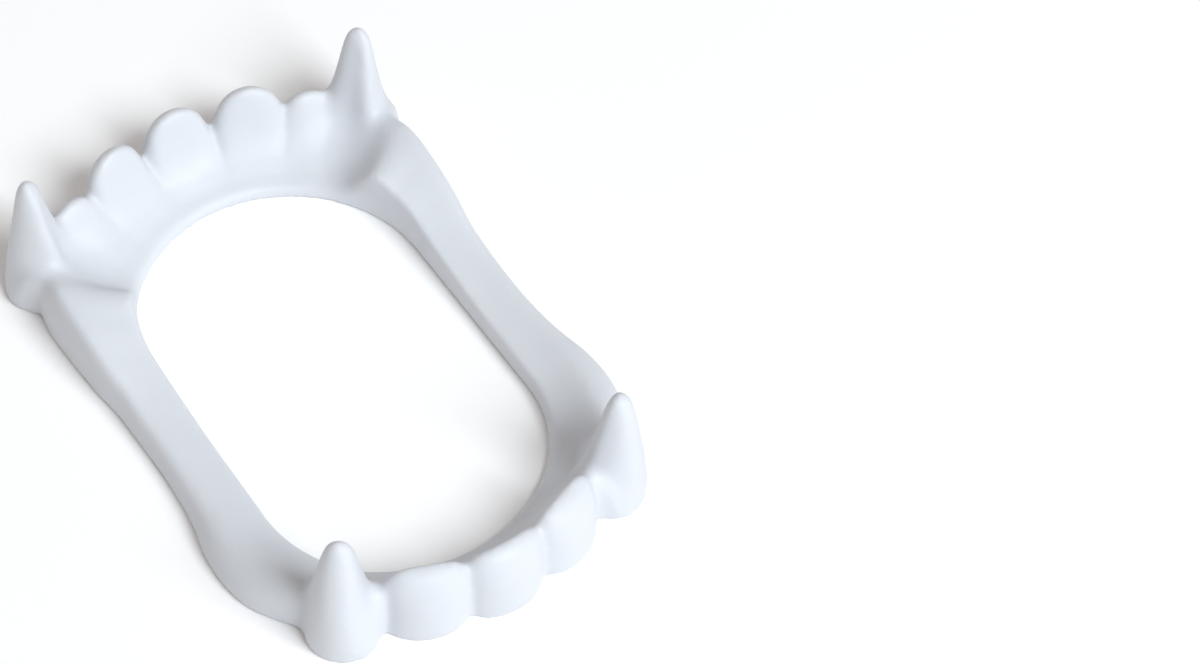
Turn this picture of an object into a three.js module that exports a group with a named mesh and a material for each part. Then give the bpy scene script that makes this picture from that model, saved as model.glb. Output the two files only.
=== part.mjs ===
// Vampire fang denture: a one-piece moulding of soft white plastic, lying open on its flat underside.
// Millimetres, +Z up. +Y points to the lower jaw's arch, -Y to the upper jaw's, the straps run along Y.
// The whole moulding is one ring round the opening, drawn as sections along rays that leave the edge of it.
import * as THREE from 'three';

// Central opening: two half ellipses joined by straight sides
const openingWidth = 32.5;
const openingStraight = 22;
const lowerEndDepth = 15.9;
const upperEndDepth = 14.2;

// Band round the opening. A rise is a height over the ground, a depth is measured out from the opening.
const strapWidth = 5.9;
const strapRise = 3;
const shoulderRise = 7;
const rimRise = 1.2;
const lowerValleyDepth = 8.9;
const lowerValleyRise = 4.6;
const upperValleyDepth = 6.1;
const upperValleyRise = 6.5;

// Teeth. A reach is the way from the opening to the tip, a setback the way from the tip to the front.
const lowerToothReach = 7.7;
const lowerToothWidth = 8.2;
const lowerToothHeight = 9.7;
const lowerToothSetback = 2.7;
const smallToothReach = 8.6;
const smallToothWidth = 6;
const smallToothHeight = 7.7;
const smallToothSetback = 2.2;
const upperToothReach = 5.2;
const upperToothWidth = 9.6;
const upperToothHeight = 8.8;
const upperToothSetback = 3.2;

// Fangs
const lowerFangReach = 11.7;
const lowerFangWidth = 8.3;
const lowerFangHeight = 16;
const lowerFangSetback = 2.8;
const lowerFangThickness = 8;
const upperFangReach = 7;
const upperFangWidth = 8.4;
const upperFangHeight = 16;
const upperFangSetback = 3.8;
const upperFangThickness = 7;

// Soft joints: the rounding between teeth and at a fang's foot, the power that fades a fang's front into
// its neighbours', and the upright share of the rim's rise
const valleyBlend = 0.35;
const fangBlend = 0.9;
const taperFade = 4;
const rimStep = 0.7;

// Fineness of the facets: steps in half an end of the opening and in a strap, twice as many of them in the
// zone on both sides of a fang
const endSteps = 60;
const strapSteps = 16;
const fangZone = 0.09;

// Places nearer than this along the half loop are in the same jaw
const jawLength = 1;

// The band along its half loop, from the middle of the lower arch (0) to the middle of the upper arch (3).
// 0 to 1 is the lower end of the opening, 1 to 2 the strap and 2 to 3 the upper end.
// depth is the band's own depth, crest the place of its ridge, inner and top the rises of rim and ridge.
const bandPath = [
  {
    along: 0, depth: lowerValleyDepth, crest: lowerToothReach,
    inner: rimRise, top: lowerValleyRise,
  },
  {
    along: 0.23, depth: lowerValleyDepth, crest: lowerToothReach,
    inner: rimRise, top: lowerValleyRise,
  },
  {
    along: 0.402, depth: lowerValleyDepth * 1.12, crest: smallToothReach,
    inner: rimRise, top: lowerValleyRise,
  },
  {
    along: 0.528, depth: lowerFangReach, crest: lowerFangReach,
    inner: rimRise * 1.3, top: shoulderRise * 0.86,
  },
  {
    along: 0.6, depth: strapWidth * 1.84, crest: strapWidth * 1.58,
    inner: rimRise * 2.2, top: shoulderRise * 0.86,
  },
  {
    along: 0.7, depth: strapWidth * 1.6, crest: strapWidth * 1.3,
    inner: shoulderRise * 0.86, top: shoulderRise,
  },
  {
    along: 0.84, depth: strapWidth * 1.25, crest: strapWidth,
    inner: shoulderRise * 0.8, top: shoulderRise * 0.92,
  },
  {
    along: 1.02, depth: strapWidth * 1.04, crest: strapWidth * 0.82,
    inner: shoulderRise * 0.62, top: shoulderRise * 0.7,
  },
  {
    along: 1.25, depth: strapWidth, crest: strapWidth * 0.76,
    inner: strapRise * 1.15, top: strapRise * 1.25,
  },
  {
    along: 1.55, depth: strapWidth, crest: strapWidth * 0.74,
    inner: strapRise * 0.9, top: strapRise * 1.1,
  },
  {
    along: 1.8, depth: strapWidth * 1.08, crest: strapWidth * 0.78,
    inner: strapRise * 0.85, top: strapRise * 1.12,
  },
  {
    along: 2.02, depth: strapWidth * 1.26, crest: strapWidth * 0.8,
    inner: rimRise * 1.9, top: strapRise * 1.28,
  },
  {
    along: 2.2, depth: strapWidth * 1.4, crest: strapWidth * 0.86,
    inner: rimRise * 1.6, top: strapRise * 1.48,
  },
  {
    along: 2.34, depth: strapWidth * 1.34, crest: strapWidth,
    inner: rimRise * 1.3, top: upperValleyRise * 0.8,
  },
  {
    along: 2.475, depth: upperFangReach * 1.1, crest: upperFangReach,
    inner: rimRise, top: upperValleyRise * 0.9,
  },
  {
    along: 2.6, depth: upperValleyDepth, crest: upperToothReach,
    inner: rimRise, top: upperValleyRise,
  },
  {
    along: 3, depth: upperValleyDepth, crest: upperToothReach,
    inner: rimRise, top: upperValleyRise,
  },
];

// Outline of a tooth seen from the front: rise as a share of its height at span, a share of half its width
const roundOutline = [
  { span: 0, rise: 1 },
  { span: 0.2, rise: 0.992 },
  { span: 0.4, rise: 0.962 },
  { span: 0.6, rise: 0.9 },
  { span: 0.75, rise: 0.82 },
  { span: 0.88, rise: 0.7 },
  { span: 0.96, rise: 0.56 },
  { span: 1, rise: 0.35 },
];
const squareOutline = [
  { span: 0, rise: 1 },
  { span: 0.42, rise: 0.99 },
  { span: 0.64, rise: 0.955 },
  { span: 0.8, rise: 0.88 },
  { span: 0.92, rise: 0.76 },
  { span: 1, rise: 0.5 },
];
const fangOutline = [
  { span: 0, rise: 1 },
  { span: 0.09, rise: 0.997 },
  { span: 0.18, rise: 0.985 },
  { span: 0.26, rise: 0.96 },
  { span: 0.32, rise: 0.93 },
  { span: 0.4, rise: 0.85 },
  { span: 0.52, rise: 0.69 },
  { span: 0.66, rise: 0.5 },
  { span: 0.82, rise: 0.33 },
  { span: 1, rise: 0.12 },
];

// Teeth of the half loop with their places along it. A fang has a thickness, and frontAlong is the place of
// a front that leans aside.
const teeth = [
  {
    along: 0, outline: roundOutline, reach: lowerToothReach, width: lowerToothWidth,
    height: lowerToothHeight * 0.98, setback: lowerToothSetback,
  },
  {
    along: 0.23, outline: roundOutline, reach: lowerToothReach, width: lowerToothWidth,
    height: lowerToothHeight, setback: lowerToothSetback,
  },
  {
    along: 0.402, outline: roundOutline, reach: smallToothReach, width: smallToothWidth,
    height: smallToothHeight, setback: smallToothSetback,
  },
  {
    along: 0.528, frontAlong: 0.545, outline: fangOutline, reach: lowerFangReach, width: lowerFangWidth,
    height: lowerFangHeight, setback: lowerFangSetback, thickness: lowerFangThickness,
  },
  {
    along: 2.475, frontAlong: 2.49, outline: fangOutline, reach: upperFangReach, width: upperFangWidth,
    height: upperFangHeight, setback: upperFangSetback, thickness: upperFangThickness,
  },
  {
    along: 2.74, outline: squareOutline, reach: upperToothReach, width: upperToothWidth,
    height: upperToothHeight, setback: upperToothSetback,
  },
  {
    along: 3, outline: squareOutline, reach: upperToothReach, width: upperToothWidth,
    height: upperToothHeight, setback: upperToothSetback,
  },
];

// Section from the opening's upper rim to the ridge: across is a share of the way to the ridge, climb a
// share of the rise between rim and ridge, peak a share of what a tooth adds over the band's own ridge
const innerSection = [
  { across: 0.06, climb: 0.04, peak: 0 },
  { across: 0.26, climb: 0.19, peak: 0.01 },
  { across: 0.48, climb: 0.43, peak: 0.05 },
  { across: 0.64, climb: 0.65, peak: 0.15 },
  { across: 0.73, climb: 0.77, peak: 0.27 },
  { across: 0.81, climb: 0.87, peak: 0.45 },
  { across: 0.89, climb: 0.95, peak: 0.72 },
  { across: 0.955, climb: 0.99, peak: 0.93 },
  { across: 1, climb: 1, peak: 1 },
];

// Section from the ridge to the outer foot: round and tapered are shares of the way from the ridge to the
// front, on a tooth and on a fang, level a share of the ridge's height
const outerSection = [
  { round: 0.22, tapered: 0.16, level: 0.985 },
  { round: 0.46, tapered: 0.32, level: 0.93 },
  { round: 0.7, tapered: 0.48, level: 0.8 },
  { round: 0.88, tapered: 0.66, level: 0.6 },
  { round: 0.96, tapered: 0.85, level: 0.38 },
  { round: 1, tapered: 0.98, level: 0.17 },
  { round: 0.96, tapered: 1, level: 0 },
];

const openingHalf = openingWidth / 2;

// Point of the opening's edge and the outward direction there, on the +X side
function openingEdge(along) {
  const half = openingStraight / 2;
  if (along > 1 && along < 2) {
    const y = half - (along - 1) * openingStraight;
    return { point: new THREE.Vector2(openingHalf, y), out: new THREE.Vector2(1, 0) };
  }
  const lower = along <= 1;
  const angle = (lower ? along : 3 - along) * Math.PI / 2;
  const depth = lower ? lowerEndDepth : upperEndDepth;
  const jaw = lower ? 1 : -1;
  const point = new THREE.Vector2(openingHalf * Math.sin(angle), jaw * (half + depth * Math.cos(angle)));
  const out = new THREE.Vector2(Math.sin(angle) / openingHalf, jaw * Math.cos(angle) / depth).normalize();
  return { point, out };
}

function pathColumn(name) {
  const places = bandPath.map((row) => row.along);
  const values = bandPath.map((row) => row[name]);
  const curve = new THREE.CubicInterpolant(places, values, 1);
  curve.settings = { endingStart: THREE.ZeroSlopeEnding, endingEnd: THREE.ZeroSlopeEnding };
  return (along) => curve.evaluate(along)[0];
}

const depthAt = pathColumn('depth');
const crestAt = pathColumn('crest');
const innerAt = pathColumn('inner');
const topAt = pathColumn('top');

function outlineRise(outline, span) {
  const after = outline.findIndex((row) => row.span > span);
  if (after < 0) return 0;
  const low = outline[after - 1];
  const high = outline[after];
  return THREE.MathUtils.mapLinear(span, low.span, high.span, low.rise, high.rise);
}

// Larger of two lengths, with the corner between them rounded
function softMax(a, b, blend) {
  return (a + b + Math.sqrt((a - b) ** 2 + blend ** 2)) / 2;
}

// How far off the middle of a tooth a ray passes, as a share of half the tooth's width
function spanOf(tooth, middle, reach, edge) {
  const home = openingEdge(middle);
  const tip = home.point.clone().addScaledVector(home.out, reach);
  const here = edge.point.clone().addScaledVector(edge.out, reach);
  const sideways = here.sub(tip).cross(home.out);
  return Math.abs(sideways) / (tooth.width / 2);
}

function sectionAt(along, side) {
  const edge = openingEdge(along);
  const inner = innerAt(along);
  const crest = crestAt(along);
  const ridge = topAt(along);
  let top = ridge;
  let fangRise = () => 0;
  let front = depthAt(along);
  let taper = 0;
  const sameJaw = teeth.filter((tooth) => Math.abs(tooth.along - along) < jawLength);
  for (const tooth of sameJaw) {
    const span = spanOf(tooth, tooth.along, tooth.reach, edge);
    if (span < 1 && tooth.thickness) {
      fangRise = (reach) => {
        const inwards = (crest - reach) / (tooth.thickness / 2);
        return tooth.height * outlineRise(tooth.outline, Math.hypot(span, inwards));
      };
      taper = 1 - span ** taperFade;
    } else if (span < 1) {
      top = softMax(top, tooth.height * outlineRise(tooth.outline, span), valleyBlend);
    }
    const frontReach = tooth.reach + tooth.setback / 2;
    const frontSpan = spanOf(tooth, tooth.frontAlong ?? tooth.along, frontReach, edge);
    if (frontSpan < 1) {
      front = softMax(front, tooth.reach + tooth.setback * Math.sqrt(1 - frontSpan ** 2), valleyBlend);
    }
  }
  const at = (reach, rise) => new THREE.Vector3(
    side * (edge.point.x + edge.out.x * reach),
    edge.point.y + edge.out.y * reach,
    rise,
  );
  const innerPoints = innerSection.map((row) => {
    const reach = row.across * crest;
    const rise = inner + row.climb * (ridge - inner) + row.peak * (top - ridge);
    const fang = fangRise(reach);
    return at(reach, fang > 0 ? softMax(rise, fang, fangBlend) : rise);
  });
  const crestRise = innerPoints.at(-1).z;
  const outerPoints = outerSection.map((row) => {
    const way = THREE.MathUtils.lerp(row.round, row.tapered, taper);
    return at(crest + way * (front - crest), row.level * crestRise);
  });
  return [at(0, 0), at(0, inner * rimStep), ...innerPoints, ...outerPoints];
}

// Joins closed sections, one after the other and the last to the first, into a closed skin
function ringSkin(sections) {
  const count = sections[0].length;
  const index = [];
  for (let place = 0; place < sections.length; place += 1) {
    const here = place * count;
    const next = ((place + 1) % sections.length) * count;
    for (let corner = 0; corner < count; corner += 1) {
      const beside = (corner + 1) % count;
      index.push(here + corner, next + beside, here + beside);
      index.push(here + corner, next + corner, next + beside);
    }
  }
  const geometry = new THREE.BufferGeometry().setFromPoints(sections.flat());
  geometry.setIndex(index);
  return geometry;
}

// Places of the sections along the half loop, twice as close round each fang
function sectionPlaces() {
  const places = [];
  for (let step = 0; step < endSteps; step += 1) places.push(step / endSteps);
  for (let step = 0; step < strapSteps; step += 1) places.push(1 + step / strapSteps);
  for (let step = 0; step <= endSteps; step += 1) places.push(2 + step / endSteps);
  const fangs = teeth.filter((tooth) => tooth.thickness);
  const nearFang = (along) => fangs.some((fang) => Math.abs(fang.along - along) < fangZone);
  return places.flatMap((along) => (nearFang(along) ? [along, along + 1 / (2 * endSteps)] : [along]));
}

function denture() {
  const places = sectionPlaces();
  const right = places.map((along) => sectionAt(along, 1));
  const left = places.slice(1, -1).reverse().map((along) => sectionAt(along, -1));
  const geometry = ringSkin([...right, ...left]);
  geometry.computeBoundingBox();
  const middle = geometry.boundingBox.getCenter(new THREE.Vector3());
  geometry.translate(-middle.x, -middle.y, 0);
  geometry.computeVertexNormals();
  return geometry;
}

const whitePlastic = new THREE.MeshStandardMaterial({ color: 0xe9edf4, roughness: 0.55, metalness: 0 });
const mesh = new THREE.Mesh(denture(), whitePlastic);
mesh.name = 'denture';

const part = new THREE.Group();
part.add(mesh);
export default part;
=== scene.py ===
import math

import bpy
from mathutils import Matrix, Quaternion, Vector


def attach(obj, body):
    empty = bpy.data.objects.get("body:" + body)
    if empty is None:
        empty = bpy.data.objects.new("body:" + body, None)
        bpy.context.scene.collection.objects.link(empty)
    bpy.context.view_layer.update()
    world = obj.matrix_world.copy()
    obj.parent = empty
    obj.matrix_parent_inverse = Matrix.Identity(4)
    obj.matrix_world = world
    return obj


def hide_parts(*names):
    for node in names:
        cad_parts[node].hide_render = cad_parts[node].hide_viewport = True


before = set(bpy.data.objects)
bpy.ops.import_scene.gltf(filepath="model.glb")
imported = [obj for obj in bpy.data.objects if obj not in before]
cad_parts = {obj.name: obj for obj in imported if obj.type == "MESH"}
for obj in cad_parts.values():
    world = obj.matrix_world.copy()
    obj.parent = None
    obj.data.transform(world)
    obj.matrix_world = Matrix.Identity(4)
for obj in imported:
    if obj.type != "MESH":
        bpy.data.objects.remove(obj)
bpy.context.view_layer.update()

print("frame loaded")


def deselectAll():
    if bpy.context.object and bpy.context.object.mode != "OBJECT":
        bpy.ops.object.mode_set(mode="OBJECT")
    bpy.ops.object.select_all(action="DESELECT")


def pickOnly(piece):
    deselectAll()
    piece.select_set(True)
    bpy.context.view_layer.objects.active = piece


def applyModifier(piece, kind, **settings):
    modifier = piece.modifiers.new(kind.lower(), kind)
    for name, value in settings.items():
        setattr(modifier, name, value)
    bpy.ops.object.modifier_apply(modifier=modifier.name)


# The soft moulding: the frame's solid, remeshed fine and relaxed so that facets and joints
# melt together. The feet of the two far fangs are relaxed some more. Lengths in metres.
moulding = {
    "node": "denture",
    "piece": "denture_moulding",
    "weld": 0.000002,  # joins the solid's loose triangles
    "grain": 0.0003,  # edge length of the fine mesh
    "relaxSteps": 10,
    "relaxShare": 0.5,
    "footSteps": 50,
    "footReach": (0.00425, 0.0085),  # from the tip outwards, full to none
    "footTop": (0.010, 0.0145),  # full below the first height, none above the second
    "footBottom": (0.001, 0.003),  # none below the first height, full above the second
}


# A soft step from 0 at start to 1 at end
def ramp(value, start, end):
    share = min(max((value - start) / (end - start), 0), 1)
    return share * share * (3 - 2 * share)


def markFangFeet(piece):
    feet = piece.vertex_groups.new(name="fangFeet")
    for side in (-1, 1):
        corner = [dot for dot in piece.data.vertices if dot.co.x * side > 0 and dot.co.y > 0]
        tip = max(corner, key=lambda dot: dot.co.z).co
        for dot in corner:
            away = math.hypot(dot.co.x - tip.x, dot.co.y - tip.y)
            share = 1 - ramp(away, *moulding["footReach"])
            share *= 1 - ramp(dot.co.z, *moulding["footTop"])
            share *= ramp(dot.co.z, *moulding["footBottom"])
            if share > 0:
                feet.add([dot.index], share, "REPLACE")
    return feet.name


def makeMoulding():
    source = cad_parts[moulding["node"]]
    piece = bpy.data.objects.new(moulding["piece"], source.data.copy())
    bpy.context.scene.collection.objects.link(piece)
    pickOnly(piece)
    bpy.ops.object.mode_set(mode="EDIT")
    bpy.ops.mesh.select_all(action="SELECT")
    bpy.ops.mesh.remove_doubles(threshold=moulding["weld"])
    bpy.ops.object.mode_set(mode="OBJECT")
    share = moulding["relaxShare"]
    applyModifier(piece, "REMESH", mode="VOXEL", voxel_size=moulding["grain"])
    applyModifier(piece, "SMOOTH", factor=share, iterations=moulding["relaxSteps"])
    feet = markFangFeet(piece)
    steps = moulding["footSteps"]
    applyModifier(piece, "SMOOTH", factor=share, iterations=steps, vertex_group=feet)
    piece.vertex_groups.clear()
    bpy.ops.object.shade_smooth()
    print("moulding made:", len(piece.data.polygons), "faces")
    return piece


# White soft plastic
whitePlastic = {
    "clean": (0.65, 0.672, 0.718, 1),
    "creamy": (0.67, 0.676, 0.703, 1),
    "roughLow": 0.46,
    "roughHigh": 0.6,
    "roughSpan": (0.3, 0.7),  # the part of the ripple pattern that the roughness follows
    "cloudScale": 90,  # cloudy colour patches, about a centimetre
    "cloudDetail": 3,
    "rippleScale": 260,  # slow flow ripples, a few millimetres
    "rippleDetail": 2,
    "rippleHeight": 0.00005,
    "grainScale": 2600,  # fine tool grain, under half a millimetre
    "grainDetail": 4,
    "grainHeight": 0.00001,
    "ior": 1.5,
    "glow": 0.25,  # light that goes a little way into the plastic
    "glowReach": (0.0016, 0.0014, 0.0012),
    "glowScale": 1,
}


def makeWhitePlastic():
    material = bpy.data.materials.new("whitePlastic")
    material.use_nodes = True
    nodes, links = material.node_tree.nodes, material.node_tree.links
    shader = nodes["Principled BSDF"]
    place = nodes.new("ShaderNodeTexCoord")

    def pattern(kind):
        node = nodes.new("ShaderNodeTexNoise")
        node.inputs["Scale"].default_value = whitePlastic[kind + "Scale"]
        node.inputs["Detail"].default_value = whitePlastic[kind + "Detail"]
        links.new(place.outputs["Object"], node.inputs["Vector"])
        return node.outputs["Fac"]

    def bump(kind, height):
        node = nodes.new("ShaderNodeBump")
        node.inputs["Distance"].default_value = whitePlastic[kind + "Height"]
        links.new(height, node.inputs["Height"])
        return node

    clouds, ripple, grain = pattern("cloud"), pattern("ripple"), pattern("grain")

    tint = nodes.new("ShaderNodeMix")
    tint.data_type = "RGBA"
    tint.inputs["A"].default_value = whitePlastic["clean"]
    tint.inputs["B"].default_value = whitePlastic["creamy"]
    links.new(clouds, tint.inputs["Factor"])
    links.new(tint.outputs["Result"], shader.inputs["Base Color"])

    rough = nodes.new("ShaderNodeMapRange")
    rough.inputs["From Min"].default_value = whitePlastic["roughSpan"][0]
    rough.inputs["From Max"].default_value = whitePlastic["roughSpan"][1]
    rough.inputs["To Min"].default_value = whitePlastic["roughLow"]
    rough.inputs["To Max"].default_value = whitePlastic["roughHigh"]
    links.new(ripple, rough.inputs["Value"])
    links.new(rough.outputs["Result"], shader.inputs["Roughness"])

    slow, fine = bump("ripple", ripple), bump("grain", grain)
    links.new(slow.outputs["Normal"], fine.inputs["Normal"])
    links.new(fine.outputs["Normal"], shader.inputs["Normal"])

    shader.inputs["IOR"].default_value = whitePlastic["ior"]
    shader.inputs["Subsurface Weight"].default_value = whitePlastic["glow"]
    shader.inputs["Subsurface Radius"].default_value = whitePlastic["glowReach"]
    shader.inputs["Subsurface Scale"].default_value = whitePlastic["glowScale"]
    return material


plastic = makeWhitePlastic()
denture = makeMoulding()
denture.data.materials.clear()
denture.data.materials.append(plastic)
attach(denture, "root")
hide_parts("denture")
print("plastic on")


# Floor
floor = {"size": 3, "colour": (0.975, 0.96, 0.955, 1), "roughness": 0.9, "shine": 0.1}


def makeFloor():
    deselectAll()
    bpy.ops.mesh.primitive_plane_add(size=floor["size"], location=(0, 0, 0))
    plane = bpy.context.object
    plane.name = "floor"
    material = bpy.data.materials.new("paleFloor")
    material.use_nodes = True
    shader = material.node_tree.nodes["Principled BSDF"]
    shader.inputs["Base Color"].default_value = floor["colour"]
    shader.inputs["Roughness"].default_value = floor["roughness"]
    shader.inputs["Specular IOR Level"].default_value = floor["shine"]
    plane.data.materials.append(material)


makeFloor()
print("floor laid")


# Light: a wide, slightly cool key high in front of the upper jaw and a little to the right,
# a weak fill from behind on the left, and a bright, slightly warm room
light = {
    "key": {"place": (0.28, -1.02, 1.1), "size": 0.8, "watts": 23.2, "colour": (0.88, 0.955, 1)},
    "fill": {"place": (-0.2, 0.5, 0.5), "size": 0.5, "watts": 0.3, "colour": (1, 0.97, 0.94)},
    "room": {"colour": (1, 0.965, 0.94, 1), "strength": 0.395},
}


def makeLamp(name):
    settings = light[name]
    deselectAll()
    bpy.ops.object.light_add(type="AREA", location=settings["place"])
    lamp = bpy.context.object
    lamp.name = name
    lamp.data.size = settings["size"]
    lamp.data.energy = settings["watts"]
    lamp.data.color = settings["colour"]
    lamp.rotation_mode = "QUATERNION"
    lamp.rotation_quaternion = (-Vector(settings["place"])).to_track_quat("-Z", "Y")


def makeRoom():
    world = bpy.data.worlds.new("room")
    world.use_nodes = True
    background = world.node_tree.nodes["Background"]
    background.inputs["Color"].default_value = light["room"]["colour"]
    background.inputs["Strength"].default_value = light["room"]["strength"]
    bpy.context.scene.world = world


makeLamp("key")
makeLamp("fill")
makeRoom()
bpy.context.scene.view_settings.view_transform = "Standard"
print("light set")


# Camera: looks at the denture over its near left corner
camera = {
    "azimuth": -32,
    "elevation": 54,
    "distance": 0.4,
    "imageSize": (1200, 665),
    "pixelsPerMetre": 9400,  # at the frame's origin
    "originPixel": (334, 373),  # where the frame's origin falls in the picture
    "sensor": 36,
    "nearest": 0.01,
}


def makeCamera():
    deselectAll()
    turn, rise = math.radians(camera["azimuth"]), math.radians(camera["elevation"])
    ahead = math.cos(rise)
    back = Vector((math.sin(turn) * ahead, -math.cos(turn) * ahead, math.sin(rise)))
    bpy.ops.object.camera_add(location=back * camera["distance"])
    cam = bpy.context.object
    width, height = camera["imageSize"]
    focalPixels = camera["pixelsPerMetre"] * camera["distance"]
    cam.data.sensor_width = camera["sensor"]
    cam.data.lens = focalPixels / width * camera["sensor"]
    cam.data.clip_start = camera["nearest"]
    pan = math.atan((camera["originPixel"][0] - width / 2) / focalPixels)
    tilt = math.atan((camera["originPixel"][1] - height / 2) / focalPixels)
    cam.rotation_mode = "QUATERNION"
    aim = (-back).to_track_quat("-Z", "Y")
    cam.rotation_quaternion = aim @ Quaternion((0, 1, 0), pan) @ Quaternion((1, 0, 0), tilt)
    bpy.context.scene.camera = cam


makeCamera()
print("camera set")
